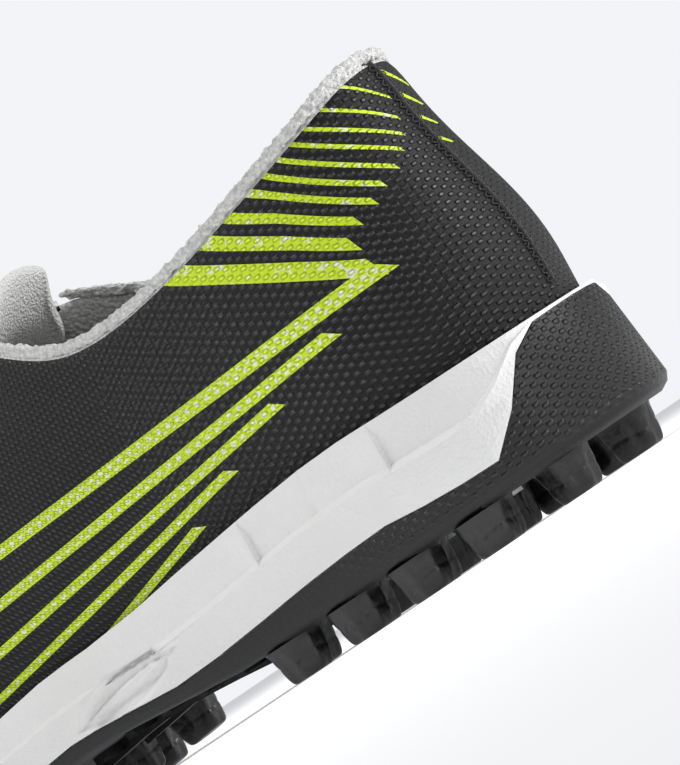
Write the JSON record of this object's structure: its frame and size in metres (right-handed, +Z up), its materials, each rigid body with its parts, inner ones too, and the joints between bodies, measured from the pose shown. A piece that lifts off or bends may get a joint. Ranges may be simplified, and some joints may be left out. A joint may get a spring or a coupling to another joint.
{
  "type": "turf shoe",
  "caption": "Low sports shoe for the left foot: rubber studded outsole, foam midsole, hollow knitted upper, tongue, insole and laces.",
  "frame": {"origin": "on the floor, under the middle of the bounding box", "axes": "+X along the foot from the heel to the toe, +Y to the outer side of the left foot, +Z up"},
  "size_m": [0.2886, 0.1012, 0.1104],
  "materials": {
    "outsole": "black moulded rubber, satin",
    "midsole": "white foam with a fine grain",
    "upper": "black knit with lime bands",
    "tongue": "white padded textile",
    "insole": "dark textile over foam",
    "laces": "white flat woven lace"
  },
  "bodies": {
    "root": {"outsole": "outsole", "midsole": "midsole", "upper": "upper", "tongue": "tongue", "insole": "insole", "laces": "laces"}
  },
  "joints": []
}
